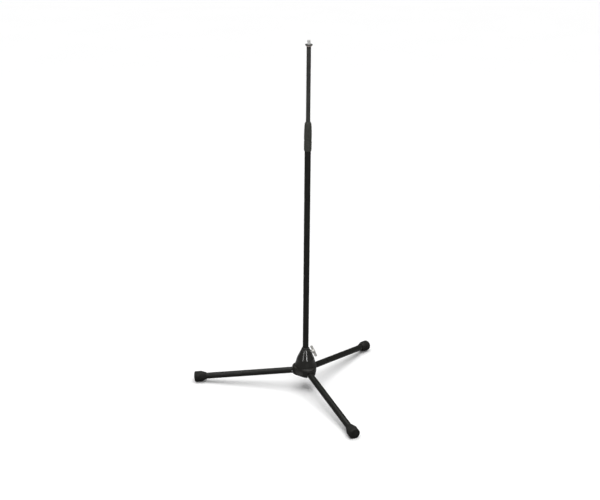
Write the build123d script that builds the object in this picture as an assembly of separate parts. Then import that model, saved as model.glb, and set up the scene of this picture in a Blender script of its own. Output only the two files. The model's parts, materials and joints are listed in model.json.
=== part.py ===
from build123d import *
import os
from math import atan2, cos, degrees, hypot, radians, sqrt, tan

# Straight microphone stand on a folding tripod base. Millimetres, +Z up, the origin on the
# floor under the mast. +X points along the clamp screw, half way between two legs.

# Heights and reaches
clutch_top_z = 880.0        # top of the hand clutch
upper_tube_showing = 223.4  # upper tube above the clutch in this pose
collapsed_showing = 3.4     # what is left of it with the mast pushed right down
extend_travel = 480.0       # how far the upper tube can still be drawn out
foot_reach = 363.4          # mast centre to the outer end of a foot
leg_azimuths = (180.0, 300.0, 60.0)

# Tubes
lower_tube_d = 19.0
lower_tube_wall = 1.5
guide_bush_wall = 1.4       # fills the step between the two mast tubes
upper_tube_wall = 1.2
leg_tube_d = 20.0
leg_tube_wall = 1.5

# Base casting
base_bottom_z = 51.5
band_height = 28.5          # three-cornered band, a corner over each leg
corner_reach = 43.0         # mast centre to a corner
corner_round = 26.0         # the corners' radius seen from above
band_top_round = 6.0
band_foot_round = 5.0
cone_top_z = 137.0
cone_top_wall = 4.2         # casting round the mast at the cone's top
cone_knee_z = 105.5
cone_knee_share = 0.735     # of the cone's spread, reached at the knee
cone_knee_round = 12.0
cone_foot_z = 86.0
cone_foot_step = 1.2        # how far the steep foot stands in from the band's sides
skirt_z = 72.0              # the cone dies into the band's sides here
skirt_step = 0.5
neck_bush_height = 6.0
neck_bush_lip = 1.65        # its wall at the top
neck_bush_round = 0.8
neck_bush_step = 0.3        # its foot stands in from the casting's edge
neck_bush_spigot_wall = 2.0
neck_bush_spigot_depth = 4.5
boss_d = 15.0
boss_height = 1.5

# Leg hinges
pivot_inset = 17.0          # hinge axis inside a corner
pivot_z = 62.3
hinge_pin_d = 6.0
hinge_pin_recess = 3.7      # pin ends below the band's surface
pin_chamfer = 0.5
heel_overlap = 2.5          # heel under the lock flange
heel_height = 7.7           # heel top above the pivot
heel_depth = 4.0            # heel underside below the pivot
knuckle_eye_inset = 0.4     # eye smaller than the tube
knuckle_spigot_length = 29.0
tube_start = 6.5            # leg tube's inner end, from the pivot
knuckle_rivet_from_pivot = 16.0
rivet_d = 3.5
rivet_head_height = 0.3
rivet_head_rim = 0.6        # head wider than the shank all round

# Mast lock
lock_flange_width = 3.0     # beyond the mast tube
lock_flange_height = 4.7
lock_spigot_length = 8.0
lock_flange_chamfer = 0.6
tube_lift = 30.0            # how far the mast rises as the legs fold
plug_rivet_d = 3.0
plug_rivet_recess = 0.1     # its ends below the tube's surface

# Feet
foot_cap_wall = 7.25
foot_cap_length = 37.0
foot_cap_barrel = 22.0
foot_cap_mouth_wall = 2.5
foot_cap_end_wall = 4.0
foot_cap_round = 2.5
foot_end_z = 15.4           # height of the centre of a foot's end face

# Clamp screw
clamp_flank_z = 127.5       # where its axis leaves the cone
clamp_tip_chamfer = 0.8
clamp_thread_d = 8.0
clamp_pitch = 1.25
clamp_turns = 2.0           # turns that free the mast
pad_length = 4.0
pad_d = 7.6
wing_hub_d = 12.4
wing_hub_length = 9.0
wing_hub_standoff = 3.0
wing_span = 42.0
wing_width = 9.0
wing_thickness = 3.2
wing_hub_chamfer = 0.8
wing_hub_crown = 1.0
wing_screw_bite = 6.0       # screw held inside the wing's hub

# Hand clutch
collar_wall = 2.2           # collar round the lower tube
sleeve_wall = 2.4           # barrel round its thread
sleeve_top_wall = 2.2       # barrel round the collet's top
collar_height = 34.0
collar_foot_wall = 0.7
collar_foot_taper = 3.0
collar_rings = 4
collar_ring_height = 5.6
collar_ring_depth = 0.45
collar_ring_gap = 1.2       # groove between two rings
collar_first_ring = 4.5     # above the collar's foot
sleeve_height = 47.0
sleeve_parting = 1.0
sleeve_foot_chamfer = 0.8
sleeve_waist = 0.1          # radius lost a third of the way up
sleeve_waist_z = 16.5
sleeve_shoulder = 0.6       # radius lost three quarters of the way up
sleeve_shoulder_z = 35.3
socket_depth = 28.0
clutch_thread_wall = 2.0
clutch_thread_length = 26.0
clutch_thread_chamfer = 1.0
clutch_pitch = 3.0
clutch_turn = 180.0         # degrees of twist from tight to free
collet_length = 16.0
collet_foot_wall = 2.25
collet_top_wall = 1.25
collet_foot_height = 1.8    # upright part below the collet's cone
collet_slit = 1.5
collet_slots = 3
collet_slot_foot = 4.8      # uncut height under the slots
ring_cap_height = 7.0
ring_skirt_length = 4.8
ring_skirt_wall = 1.0
ring_top_width = 1.8        # of the slip ring's top, round the upper tube
ring_top_chamfer = 0.8

# Top fitting
stud_d = 9.525
stud_pitch = 1.5875
nut_turns = 3.0
stud_showing = 12.0         # above the ring nut
stud_relief = 0.4           # the shank under the nut is this much thinner
stud_spigot_length = 18.0
stud_collar_height = 1.2
stud_chamfer = 0.8
washer_width = 4.24
washer_height = 1.0
ring_nut_wall = 5.94
ring_nut_height = 4.4
ring_nut_taper = 1.0        # the nut's foot is this much smaller in radius
ring_nut_taper_height = 1.5
ring_nut_chamfer = 0.7
guide_bush_length = 25.0
guide_bush_floor = 2.0
guide_bush_floor_lip = 2.0  # of its floor, under the tube's end

# Clearances
running_gap = 0.05          # shaft in a bearing or guide
guide_gap = 0.1             # guide bush in the lower tube
moving_gap = 0.3            # curved faces that pass each other without guiding
clutch_bore_gap = 0.5       # upper tube in the clutch body
thread_gap = 0.3            # threads stand as plain cylinders this far apart
face_gap = 0.1              # flat faces that turn on each other
heel_gap = 0.3              # lock flange over the heels
knuckle_side_gap = 0.4      # knuckle beside its slot's wall
slot_gap = 0.5              # leg tube beside and below its slot
heel_sweep_gap = 0.5
chamber_gap = 1.0           # chamber round the lock flange
lift_gap = 0.5              # lock flange under the chamber's roof with the mast lifted
stop_gap = 0.5              # guide bush under the clutch body with the mast drawn out

# Sizes that follow from the ones above
lower_r = lower_tube_d / 2
upper_r = lower_r - lower_tube_wall - guide_gap - guide_bush_wall
leg_r = leg_tube_d / 2
corner_centre_r = corner_reach - corner_round
side_r = corner_centre_r / 2 + corner_round
band_top_z = base_bottom_z + band_height
cone_top_r = lower_r + cone_top_wall
cone_foot_r = side_r - cone_foot_step
cone_knee_r = cone_top_r + cone_knee_share * (cone_foot_r - cone_top_r)
cone_lean = degrees(atan2(cone_knee_r - cone_top_r, cone_top_z - cone_knee_z))
skirt_r = side_r - skirt_step
pivot_r = corner_reach - pivot_inset
pin_cheek = sqrt(corner_round ** 2 - (pivot_r - corner_centre_r) ** 2)
hinge_pin_length = 2 * (pin_cheek - hinge_pin_recess)
lock_flange_r = lower_r + lock_flange_width
heel_r = lock_flange_r - heel_overlap
foot_cap_r = leg_r + foot_cap_wall
leg_slope = degrees(atan2(pivot_z - foot_end_z, foot_reach - pivot_r))
leg_length = hypot(pivot_z - foot_end_z, foot_reach - pivot_r)
heel_top_z = pivot_z + heel_height
flange_bottom_z = heel_top_z + heel_gap
lower_tube_bottom_z = flange_bottom_z + lock_flange_height
chamber_r = lock_flange_r + chamber_gap
chamber_top_z = lower_tube_bottom_z + tube_lift + lift_gap
bore_r = lower_r + moving_gap
slot_half_width = leg_r + slot_gap
heel_sweep_r = hypot(pivot_r - heel_r, heel_height) + heel_sweep_gap
slot_back_r = pivot_r + tube_start

clamp_flank_r = cone_top_r + (cone_top_z - clamp_flank_z) * tan(radians(cone_lean))
clamp_flank_s = clamp_flank_r / cos(radians(cone_lean))
clamp_root_z = clamp_flank_z - clamp_flank_r * tan(radians(cone_lean))
pad_outer_s = lower_r / cos(radians(cone_lean)) + pad_length
hub_s = clamp_flank_s + boss_height + wing_hub_standoff

collar_bottom_z = clutch_top_z - ring_cap_height - sleeve_height - sleeve_parting - collar_height
collar_top_z = collar_bottom_z + collar_height
sleeve_bottom_z = collar_top_z + sleeve_parting
sleeve_top_z = sleeve_bottom_z + sleeve_height
lower_tube_top_z = collar_bottom_z + socket_depth
clutch_bore_r = upper_r + clutch_bore_gap
clutch_thread_r = clutch_bore_r + clutch_thread_wall
clutch_r = max(lower_r + collar_wall, clutch_thread_r + thread_gap + sleeve_wall)
collet_bore_r = upper_r + running_gap
collet_foot_r = collet_bore_r + collet_foot_wall
collet_top_r = collet_bore_r + collet_top_wall
sleeve_top_r = collet_top_r + moving_gap + sleeve_top_wall
clutch_thread_top_z = collar_top_z + clutch_thread_length
collet_bottom_z = clutch_thread_top_z + 2 * face_gap
collet_top_z = collet_bottom_z + collet_length

tube_top_z = clutch_top_z + upper_tube_showing
upper_tube_bottom_z = lower_tube_top_z - extend_travel - stop_gap - guide_bush_length + guide_bush_floor
nut_seat_z = tube_top_z + stud_collar_height
washer_top_z = nut_seat_z + washer_height
nut_bottom_z = washer_top_z + face_gap / 2
nut_top_z = nut_bottom_z + ring_nut_height
stud_top_z = nut_top_z + stud_showing

UP = (Align.CENTER, Align.CENTER, Align.MIN)


def rod(radius, low, high):
    """A plain round bar about Z, from height low to height high."""
    return Pos(0, 0, low) * Cylinder(radius, high - low, align=UP)


def pipe(outer_r, inner_r, low, high):
    """A round tube about Z."""
    return rod(outer_r, low, high) - rod(inner_r, low, high)


def turned(*outline):
    """A solid of revolution about Z from (radius, height) corners."""
    return revolve(Plane.XZ * make_face(Polyline(*outline, close=True)), Axis.Z)


def crosswise(radius, length):
    """A round bar along Y, centred on the origin."""
    return Rot(90, 0, 0) * Cylinder(radius, length)


def along_leg(shape):
    """Turn a shape built about Z so that its Z runs outwards along local X."""
    return Rot(0, 90, 0) * shape


def leg_place(azimuth):
    """The frame of a leg: origin at its pivot, X out along the tube, Y along the pin."""
    return Rot(0, 0, azimuth) * Pos(pivot_r, 0, pivot_z) * Rot(0, leg_slope, 0)


def pivot_place(azimuth):
    """A level frame at a leg's pivot."""
    return Rot(0, 0, azimuth) * Pos(pivot_r, 0, pivot_z)


def clamp_place():
    """The clamp screw's frame: origin on the mast's axis, Z out along the screw."""
    return Pos(0, 0, clamp_root_z) * Rot(0, 90 - cone_lean, 0)


def band_plan():
    """The band seen from above: three round corners, one over each leg, joined by flat sides."""
    corners = [
        Rot(0, 0, azimuth) * Pos(corner_centre_r, 0) * Circle(corner_round)
        for azimuth in leg_azimuths
    ]
    return make_hull([edge for corner in corners for edge in corner.edges()])


def band_body():
    """The casting's lower part, rounded over at its top and broken at its foot."""
    band = Pos(0, 0, base_bottom_z) * extrude(band_plan(), band_height)
    levels = band.edges().group_by(Axis.Z)
    band = fillet(levels[-1], band_top_round)
    return fillet(band.edges().group_by(Axis.Z)[0], band_foot_round)


def cone_body():
    """The casting's upper part: a cone with a knee, then a steep foot that dies into the band."""
    cone = turned(
        (0, base_bottom_z + band_foot_round),
        (skirt_r - band_foot_round, base_bottom_z + band_foot_round),
        (skirt_r, skirt_z),
        (cone_foot_r, cone_foot_z),
        (cone_knee_r, cone_knee_z),
        (cone_top_r, cone_top_z),
        (0, cone_top_z),
    )
    rings = cone.edges().filter_by(GeomType.CIRCLE).group_by(Axis.Z)
    return fillet(rings[3], cone_knee_round)


def hub_body():
    """The casting's outside: band, cone, and a boss for the clamp screw."""
    boss = clamp_place() * rod(boss_d / 2, bore_r, clamp_flank_s + boss_height)
    return band_body() + cone_body() + boss


def leg_slot(azimuth):
    """Room for one leg tube, and for the heel behind its pivot, through the whole fold."""
    reach = 4 * corner_reach
    trough = Pos(0, 0, leg_r + slot_gap) * Box(
        reach, 2 * slot_half_width, reach,
        align=(Align.CENTER, Align.CENTER, Align.MAX),
    )
    sweep = crosswise(heel_sweep_r, 2 * slot_half_width)
    behind = Pos(slot_back_r - pivot_r, 0, 0) * Box(
        reach, 2 * slot_half_width, reach,
        align=(Align.MAX, Align.CENTER, Align.CENTER),
    )
    inner_end = Rot(0, 0, azimuth) * Box(
        reach, 2 * slot_half_width, 4 * cone_top_z,
        align=(Align.MIN, Align.CENTER, Align.CENTER),
    )
    pin_hole = crosswise(hinge_pin_d / 2, reach)
    trough = (leg_place(azimuth) * trough) & inner_end
    return trough + pivot_place(azimuth) * (sweep & behind) + pivot_place(azimuth) * pin_hole


def base_casting():
    """Die-cast hub: mast bore, lock chamber, three leg slots, pin holes and the clamp hole."""
    spigot_r = lower_r + running_gap + neck_bush_spigot_wall
    body = hub_body()
    body -= rod(chamber_r, base_bottom_z, chamber_top_z)
    body -= rod(bore_r, chamber_top_z, cone_top_z)
    body -= rod(spigot_r, cone_top_z - neck_bush_spigot_depth, cone_top_z)
    body -= clamp_place() * rod(clamp_thread_d / 2 + thread_gap, 0, 2 * clamp_flank_s)
    for azimuth in leg_azimuths:
        body -= leg_slot(azimuth)
    return body


def neck_bush():
    """Plastic bush in the casting's mouth, which carries the cone up to the mast."""
    inner_r = lower_r + running_gap
    spigot_r = inner_r + neck_bush_spigot_wall
    top_r = inner_r + neck_bush_lip
    top_z = cone_top_z + neck_bush_height
    return turned(
        (inner_r, cone_top_z - neck_bush_spigot_depth),
        (spigot_r, cone_top_z - neck_bush_spigot_depth),
        (spigot_r, cone_top_z),
        (cone_top_r - neck_bush_step, cone_top_z),
        (top_r + neck_bush_round / 2, top_z - neck_bush_round),
        (top_r - neck_bush_round / 2, top_z),
        (inner_r, top_z),
    )


def hinge_pin(azimuth):
    """Pin across a leg slot, pressed in the casting on both sides of the knuckle."""
    pin = crosswise(hinge_pin_d / 2, hinge_pin_length)
    pin = chamfer(pin.edges().filter_by(GeomType.CIRCLE), pin_chamfer)
    return pivot_place(azimuth) * pin


def leg_knuckle(azimuth):
    """Cast end of a leg: hinge eye, locking heel towards the mast, and a spigot in the tube."""
    half_width = slot_half_width - knuckle_side_gap
    eye_r = leg_r - knuckle_eye_inset
    eye = crosswise(eye_r, 2 * half_width)
    heel = Plane.XZ * make_face(Polyline(
        (0, heel_height),
        (heel_r - pivot_r, heel_height),
        (heel_r - pivot_r, -heel_depth),
        (0, -eye_r),
        close=True,
    ))
    heel = extrude(heel, half_width, both=True)
    shoulder = along_leg(rod(leg_r, 0, tube_start))
    spigot = along_leg(rod(leg_r - leg_tube_wall, 0, tube_start + knuckle_spigot_length))
    rivet_hole = Pos(knuckle_rivet_from_pivot, 0, 0) * crosswise(rivet_d / 2, leg_tube_d)
    past_shoulder = along_leg(rod(leg_tube_d, tube_start, tube_start + leg_tube_d))
    head = pivot_place(azimuth) * (eye + heel) - leg_place(azimuth) * past_shoulder
    body = head + leg_place(azimuth) * (shoulder + spigot - rivet_hole)
    return body - pivot_place(azimuth) * crosswise(hinge_pin_d / 2 + running_gap, leg_tube_d * 2)


def leg_tube(azimuth):
    """Steel tube from the knuckle to the inside of the foot cap."""
    tube = along_leg(pipe(leg_r, leg_r - leg_tube_wall, tube_start, leg_length - foot_cap_end_wall))
    tube -= Pos(knuckle_rivet_from_pivot, 0, 0) * crosswise(rivet_d / 2, 2 * leg_tube_d)
    return leg_place(azimuth) * tube


def knuckle_rivet(azimuth):
    """Cross rivet that holds the tube on the knuckle's spigot, with low heads."""
    shank = crosswise(rivet_d / 2, leg_tube_d)
    reach = leg_r + rivet_head_height
    heads = crosswise(rivet_d / 2 + rivet_head_rim, 2 * reach)
    heads -= crosswise(leg_tube_d, 2 * (leg_r - rivet_head_height))
    skin = along_leg(rod(leg_r, -leg_tube_d, leg_tube_d))
    rivet = shank + (heads - skin)
    return leg_place(azimuth) * Pos(knuckle_rivet_from_pivot, 0, 0) * rivet


def foot_cap(azimuth):
    """Rubber cap on a leg's end, with its lower edge cut to stand flat on the floor."""
    end = leg_length
    cap = turned(
        (0, end),
        (foot_cap_r, end),
        (foot_cap_r, end - foot_cap_barrel),
        (leg_r + foot_cap_mouth_wall, end - foot_cap_length),
        (0, end - foot_cap_length),
    )
    rims = cap.edges().filter_by(GeomType.CIRCLE).group_by(Axis.Z)
    cap = fillet(rims[-1], foot_cap_round)
    cap -= rod(leg_r, end - foot_cap_length, end - foot_cap_end_wall)
    cap = leg_place(azimuth) * along_leg(cap)
    floor = Box(4 * foot_reach, 4 * foot_reach, foot_cap_r, align=(Align.CENTER, Align.CENTER, Align.MAX))
    return cap - floor


def lock_plug():
    """Plug in the mast's foot. Its flange holds the heels down, and the mast in the base."""
    flange = turned(
        (0, flange_bottom_z),
        (lock_flange_r - lock_flange_chamfer, flange_bottom_z),
        (lock_flange_r, flange_bottom_z + lock_flange_chamfer),
        (lock_flange_r, lower_tube_bottom_z),
        (0, lower_tube_bottom_z),
    )
    spigot = rod(lower_r - lower_tube_wall, lower_tube_bottom_z, lower_tube_bottom_z + lock_spigot_length)
    return flange + spigot - plug_rivet()


def plug_rivet():
    """Headless rivet through the mast's foot and the lock plug."""
    middle_z = lower_tube_bottom_z + lock_spigot_length / 2
    return Pos(0, 0, middle_z) * crosswise(plug_rivet_d / 2, 2 * (lower_r - plug_rivet_recess))


def lower_tube():
    """Mast tube from the lock plug to the clutch."""
    tube = pipe(lower_r, lower_r - lower_tube_wall, lower_tube_bottom_z, lower_tube_top_z)
    middle_z = lower_tube_bottom_z + lock_spigot_length / 2
    return tube - Pos(0, 0, middle_z) * crosswise(plug_rivet_d / 2, 2 * lower_tube_d)


def pressure_pad():
    """Brass pad between the clamp screw and the mast, hollowed to the mast's curve."""
    pad = clamp_place() * rod(pad_d / 2, 0, pad_outer_s)
    pad -= rod(lower_r + moving_gap, 0, cone_top_z)
    return pad & clamp_place() * rod(pad_d / 2, bore_r / 2, pad_outer_s)


def clamp_screw():
    """Threaded shank of the wing screw."""
    end = hub_s + wing_screw_bite
    shank = rod(clamp_thread_d / 2, pad_outer_s + 2 * face_gap, end)
    tip = shank.edges().filter_by(GeomType.CIRCLE).group_by(Axis.Z)[0]
    return clamp_place() * chamfer(tip, clamp_tip_chamfer)


def wing_head():
    """Cast wing of the clamp screw: a tapered hub between two rounded ears."""
    hub_r = wing_hub_d / 2
    middle = hub_s + wing_hub_length / 2
    hub = turned(
        (0, hub_s),
        (hub_r - wing_hub_chamfer, hub_s),
        (hub_r, hub_s + wing_hub_chamfer),
        (hub_r - wing_hub_chamfer, hub_s + wing_hub_length - wing_hub_crown),
        (hub_r - wing_hub_chamfer - wing_hub_crown, hub_s + wing_hub_length),
        (0, hub_s + wing_hub_length),
    )
    ears = SlotOverall(wing_span, wing_width)
    ears = Plane((0, 0, middle), x_dir=(-1, 0, 0), z_dir=(0, 1, 0)) * ears
    ears = extrude(ears, wing_thickness / 2, both=True)
    ears = fillet(ears.edges().filter_by(lambda edge: edge.length > wing_width), wing_thickness / 4)
    head = hub + ears - rod(clamp_thread_d / 2, hub_s, hub_s + wing_screw_bite)
    return clamp_place() * head


def collar_outline():
    """Outer corners of the ringed collar, from its foot to its top."""
    radius = clutch_r
    first = collar_bottom_z + collar_first_ring
    points = [
        (lower_r + collar_foot_wall, collar_bottom_z),
        (radius - collar_ring_depth, collar_bottom_z + collar_foot_taper),
    ]
    for ring in range(collar_rings):
        low = first + ring * (collar_ring_height + collar_ring_gap)
        points.append((radius - collar_ring_depth, low - collar_ring_gap / 2))
        points.append((radius, low + collar_ring_gap))
        points.append((radius, low + collar_ring_height - collar_ring_gap))
        points.append((radius - collar_ring_depth, low + collar_ring_height))
    return points


def clutch_body():
    """Ringed collar fixed on the mast, with the clutch's male thread above it."""
    body = turned(
        *collar_outline(),
        (clutch_r - collar_ring_depth, collar_top_z),
        (clutch_thread_r, collar_top_z),
        (clutch_thread_r, clutch_thread_top_z - clutch_thread_chamfer),
        (clutch_thread_r - clutch_thread_chamfer, clutch_thread_top_z),
        (clutch_bore_r, clutch_thread_top_z),
        (clutch_bore_r, lower_tube_top_z),
        (lower_r, lower_tube_top_z),
        (lower_r, collar_bottom_z),
    )
    return body


def collet():
    """Split ring that the clutch closes on the upper tube."""
    ring = turned(
        (collet_bore_r, collet_bottom_z),
        (collet_foot_r, collet_bottom_z),
        (collet_foot_r, collet_bottom_z + collet_foot_height),
        (collet_top_r, collet_top_z),
        (collet_bore_r, collet_top_z),
    )
    slit = Pos(0, 0, collet_bottom_z) * Box(
        2 * clutch_r, collet_slit, 2 * collet_length, align=(Align.MIN, Align.CENTER, Align.MIN)
    )
    ring -= Pos(0, 0, -1) * slit
    for slot in range(1, collet_slots + 1):
        turn = Rot(0, 0, slot * 360 / (collet_slots + 1))
        ring -= turn * Pos(0, 0, collet_slot_foot) * slit
    return ring


def grip_sleeve():
    """Barrel that is twisted to close the clutch: thread below, cone round the collet above."""
    cone_foot_inner_r = collet_foot_r + moving_gap
    cone_top_inner_r = collet_top_r + moving_gap
    thread_top_z = collet_bottom_z + collet_foot_height - sleeve_foot_chamfer
    return turned(
        (clutch_thread_r + thread_gap, sleeve_bottom_z),
        (clutch_r - sleeve_foot_chamfer, sleeve_bottom_z),
        (clutch_r, sleeve_bottom_z + sleeve_foot_chamfer),
        (clutch_r - sleeve_waist, sleeve_bottom_z + sleeve_waist_z),
        (clutch_r - sleeve_shoulder, sleeve_bottom_z + sleeve_shoulder_z),
        (sleeve_top_r, sleeve_top_z),
        (cone_top_inner_r, sleeve_top_z),
        (cone_top_inner_r, collet_top_z),
        (cone_foot_inner_r, collet_bottom_z + collet_foot_height),
        (clutch_thread_r + thread_gap, thread_top_z),
    )


def clutch_ring():
    """Slip ring that closes the top of the clutch; the barrel turns under it."""
    inner_r = upper_r + moving_gap + running_gap
    skirt_r = inner_r + ring_skirt_wall
    seat_z = sleeve_top_z + face_gap
    return turned(
        (inner_r, sleeve_top_z - ring_skirt_length),
        (skirt_r, sleeve_top_z - ring_skirt_length),
        (skirt_r, seat_z),
        (sleeve_top_r, seat_z),
        (upper_r + ring_top_width, clutch_top_z - ring_top_chamfer),
        (upper_r + ring_top_width - ring_top_chamfer, clutch_top_z),
        (inner_r, clutch_top_z),
    )


def upper_tube():
    """Sliding tube of the mast."""
    return pipe(upper_r, upper_r - upper_tube_wall, upper_tube_bottom_z, tube_top_z)


def guide_bush():
    """Plastic cup on the upper tube's foot: it guides the tube and stops it at full height."""
    outer_r = lower_r - lower_tube_wall - guide_gap
    foot_z = upper_tube_bottom_z - guide_bush_floor
    cup = rod(outer_r, foot_z, foot_z + guide_bush_length)
    cup -= rod(upper_r, upper_tube_bottom_z, foot_z + guide_bush_length)
    return cup - rod(upper_r - guide_bush_floor_lip, foot_z, upper_tube_bottom_z)


def threaded_stud():
    """Plug pressed in the upper tube, with the stud that takes a microphone clip."""
    shank_r = stud_d / 2 - stud_relief / 2
    plug_r = upper_r - upper_tube_wall
    stud = turned(
        (0, tube_top_z - stud_spigot_length),
        (plug_r, tube_top_z - stud_spigot_length),
        (plug_r, tube_top_z),
        (upper_r, tube_top_z),
        (upper_r, nut_seat_z),
        (shank_r, nut_seat_z),
        (shank_r, nut_top_z),
        (stud_d / 2, nut_top_z),
        (stud_d / 2, stud_top_z - stud_chamfer),
        (stud_d / 2 - stud_chamfer, stud_top_z),
        (0, stud_top_z),
    )
    return stud


def lock_washer():
    """Fibre washer under the ring nut."""
    inner_r = stud_d / 2 + thread_gap
    return pipe(inner_r + washer_width - thread_gap, inner_r, nut_seat_z, washer_top_z)


def ring_nut():
    """Round nut that locks what is screwed on the stud."""
    inner_r = stud_d / 2 + thread_gap
    outer_r = inner_r + ring_nut_wall
    return turned(
        (inner_r, nut_bottom_z),
        (outer_r - ring_nut_taper - ring_nut_chamfer, nut_bottom_z),
        (outer_r - ring_nut_taper, nut_bottom_z + ring_nut_chamfer),
        (outer_r, nut_bottom_z + ring_nut_taper_height),
        (outer_r, nut_top_z - ring_nut_chamfer),
        (outer_r - ring_nut_chamfer, nut_top_z),
        (inner_r, nut_top_z),
    )


def all_parts():
    """Every piece of the stand by its node name."""
    parts = {
        "base_casting": base_casting(),
        "neck_bush": neck_bush(),
        "lock_plug": lock_plug(),
        "plug_rivet": plug_rivet(),
        "lower_tube": lower_tube(),
        "pressure_pad": pressure_pad(),
        "clamp_screw": clamp_screw(),
        "wing_head": wing_head(),
        "clutch_body": clutch_body(),
        "collet": collet(),
        "grip_sleeve": grip_sleeve(),
        "clutch_ring": clutch_ring(),
        "upper_tube": upper_tube(),
        "guide_bush": guide_bush(),
        "threaded_stud": threaded_stud(),
        "lock_washer": lock_washer(),
        "ring_nut": ring_nut(),
    }
    for number, azimuth in enumerate(leg_azimuths, start=1):
        parts[f"hinge_pin_{number}"] = hinge_pin(azimuth)
        parts[f"leg_knuckle_{number}"] = leg_knuckle(azimuth)
        parts[f"leg_tube_{number}"] = leg_tube(azimuth)
        parts[f"knuckle_rivet_{number}"] = knuckle_rivet(azimuth)
        parts[f"foot_cap_{number}"] = foot_cap(azimuth)
    return parts


os.makedirs("parts", exist_ok=True)
for node, solid in all_parts().items():
    export_step(solid, f"parts/{node}.step")

print("legs fold by", round(90 - leg_slope, 3), "degrees, and the mast lifts by", tube_lift)
print("upper tube travel", collapsed_showing - upper_tube_showing, "to", extend_travel)
print("screw turns", clamp_turns, "and backs off by", clamp_turns * clamp_pitch)
print("clutch opens by", clutch_turn, "degrees and rises by", clutch_turn / 360 * clutch_pitch)
print("ring nut turns", nut_turns, "and rises by", nut_turns * stud_pitch)
print("overall height", round(stud_top_z, 2))
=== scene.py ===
import json
import math

import bmesh
import bpy
from mathutils import Matrix, Vector


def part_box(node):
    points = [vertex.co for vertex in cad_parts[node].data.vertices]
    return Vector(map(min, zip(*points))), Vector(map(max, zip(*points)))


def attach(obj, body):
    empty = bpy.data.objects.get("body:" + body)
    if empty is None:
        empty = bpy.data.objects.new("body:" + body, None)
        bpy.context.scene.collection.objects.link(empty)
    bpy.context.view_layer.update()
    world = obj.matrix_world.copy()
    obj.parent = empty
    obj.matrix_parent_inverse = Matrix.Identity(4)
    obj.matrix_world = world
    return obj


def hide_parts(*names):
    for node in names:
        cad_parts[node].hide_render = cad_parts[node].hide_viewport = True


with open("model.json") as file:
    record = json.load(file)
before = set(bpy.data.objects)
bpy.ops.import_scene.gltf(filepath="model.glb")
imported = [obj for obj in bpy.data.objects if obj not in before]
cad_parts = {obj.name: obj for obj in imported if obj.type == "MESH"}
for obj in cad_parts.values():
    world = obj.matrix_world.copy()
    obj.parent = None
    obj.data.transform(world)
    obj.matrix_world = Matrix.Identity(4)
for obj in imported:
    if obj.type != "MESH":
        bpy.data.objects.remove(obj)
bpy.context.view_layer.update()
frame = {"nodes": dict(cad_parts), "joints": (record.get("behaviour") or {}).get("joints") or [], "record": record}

# A straight microphone stand on a folding tripod base. The frame gives every place; lengths
# here are millimetres until a mesh is made, and metres after that.

MM = 0.001
ROUND_STEPS = 96            # facets round a turned piece
FINE_STEPS = 192
FILLET_STEPS = 5
SHARP_ANGLE = math.radians(34)
WEAR_ANGLE = math.radians(50)

LOWER_TUBE_WALL = 1.5
UPPER_TUBE_WALL = 1.2
LEG_TUBE_WALL = 1.5
STUD_COLLAR_HEIGHT = 1.2
RING_NUT_WALL = 5.94
FLOOR_HALF = 200.0          # metres
TUBE_END_ROUND = 0.25
FOOT_CAP_END_WALL = 4.0
FOOT_CAP_ROUND = 2.5
STUD_THREAD_PITCH = 1.5875
STUD_THREAD_DEPTH = 0.9
CLAMP_THREAD_PITCH = 1.25
CLAMP_THREAD_DEPTH = 0.68
CLUTCH_THREAD_PITCH = 3.0
CLUTCH_THREAD_DEPTH = 0.8

JOINTS = {joint["name"]: joint for joint in frame["joints"]}
COLLECTION = bpy.context.scene.collection


# ---------------------------------------------------------------- measuring the frame

def upright(node):
    """Lowest height, highest height and outer radius of a node round the mast."""
    low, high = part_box(node)
    return low.z / MM, high.z / MM, high.y / MM


def leg_azimuth(number):
    pivot = JOINTS[f"leg_{number}_fold"]["pos_m"]
    return math.atan2(pivot[1], pivot[0])


def leg_slope():
    """How far the spread legs dip below level: the fold takes them from there to upright."""
    return math.pi / 2 - math.radians(JOINTS["leg_1_fold"]["range_deg"][1])


def leg_place(number):
    """A leg's frame: origin at its pivot, Z out along the tube, Y level across it."""
    pivot = Vector(JOINTS[f"leg_{number}_fold"]["pos_m"])
    turn = Matrix.Rotation(leg_azimuth(number), 4, "Z")
    dip = Matrix.Rotation(leg_slope() + math.pi / 2, 4, "Y")
    return Matrix.Translation(pivot) @ turn @ dip


def clamp_place():
    """The clamp screw's frame: origin on the mast's axis, Z out along the screw, X downwards."""
    joint = JOINTS["screw_turn"]
    axis = Vector(joint["axis"])
    lean = Matrix.Rotation(math.atan2(axis.x, axis.z), 4, "Y")
    return Matrix.Translation(Vector(joint["pos_m"])) @ lean


def leg_spans():
    """Inner end, outer end and radius of a leg tube, and its cap's outer end and radius."""
    slope = leg_slope()
    pivot_r = Vector(JOINTS["leg_1_fold"]["pos_m"]).to_2d().length / MM
    low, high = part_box("leg_tube_1")
    radius = high.y / MM
    rise = radius * math.sin(slope)
    outer = (-low.x / MM - pivot_r - rise) / math.cos(slope)
    inner = (-high.x / MM - pivot_r + rise) / math.cos(slope)
    cap_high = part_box("foot_cap_1")[1]
    return inner, outer, radius, outer + FOOT_CAP_END_WALL, cap_high.y / MM


# ---------------------------------------------------------------- making meshes

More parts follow.
